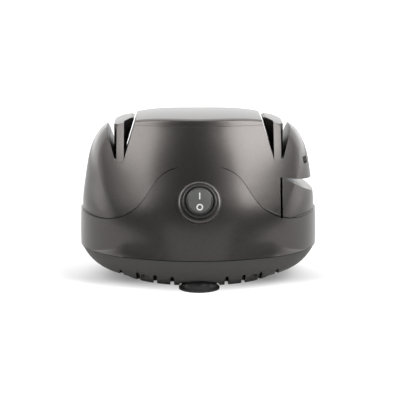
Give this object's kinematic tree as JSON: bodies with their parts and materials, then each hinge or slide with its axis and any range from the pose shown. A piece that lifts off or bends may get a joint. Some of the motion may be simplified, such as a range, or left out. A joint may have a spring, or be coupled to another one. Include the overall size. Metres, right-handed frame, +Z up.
{
  "type": "electric knife sharpener",
  "caption": "Domed countertop knife sharpener: motor-driven grinding wheels under V slots at both sides, a scissor notch, a screwdriver hole, a round rocker switch and suction feet.",
  "frame": {"origin": "on the table, under the middle of the body", "axes": "+Z up, +X to the right of someone facing the switch, and the front with the switch faces -Y"},
  "size_m": [0.1602, 0.128, 0.1134],
  "materials": {
    "painted_shell": "satin metallic paint",
    "pan_plastic": "fine texture",
    "switch_black": "satin",
    "inner_plastic": "moulded",
    "foot_rubber": "matt",
    "steel": "turned",
    "cast_aluminium": "die-cast",
    "copper_wire": "enamelled",
    "bush_bronze": "sintered",
    "carbon": "pressed carbon",
    "grinding_stone": "abrasive grain"
  },
  "bodies": {
    "housing": {"base_pan": "pan_plastic", "brush_holders": "bush_bronze", "carbon_brushes": "carbon", "cord_gland": "switch_black", "field_coils": "copper_wire", "front_foot": "foot_rubber", "housing_screws": "steel", "left_bearing_bush": "bush_bronze", "left_knife_guide": "painted_shell", "left_motor_bracket": "cast_aluminium", "left_motor_mounts": "foot_rubber", "motor_bolts": "steel", "motor_stator": "steel", "rear_left_foot": "foot_rubber", "rear_right_foot": "foot_rubber", "right_bearing_bush": "bush_bronze", "right_knife_guide": "painted_shell", "right_motor_bracket": "cast_aluminium", "right_motor_mounts": "foot_rubber", "scissor_block": "painted_shell", "suppressor_capacitor": "inner_plastic", "switch_body": "switch_black", "switch_terminals": "bush_bronze", "top_cover": "painted_shell", "upper_housing": "painted_shell"},
    "drive_line": {"motor_shaft": "steel", "rotor_core": "steel", "rotor_winding": "copper_wire", "commutator": "copper_wire", "cooling_fan": "inner_plastic", "left_coarse_wheel": "grinding_stone", "right_fine_wheel": "grinding_stone", "left_wheel_flange": "steel", "right_wheel_flange": "steel", "left_wheel_washer": "steel", "right_wheel_washer": "steel", "left_wheel_nut": "steel", "right_wheel_nut": "steel"},
    "rocker": {"switch_rocker": "switch_black"}
  },
  "joints": [
    {"name": "drive_spin", "type": "hinge", "parent": "housing", "child": "drive_line", "pos_m": [0, 0, 0.063], "axis": [1, 0, 0], "continuous": true},
    {"name": "switch_rock", "type": "hinge", "parent": "housing", "child": "rocker", "pos_m": [0, -0.0572, 0.0613], "axis": [-1, 0, 0], "range_deg": [0, 20]}
  ]
}
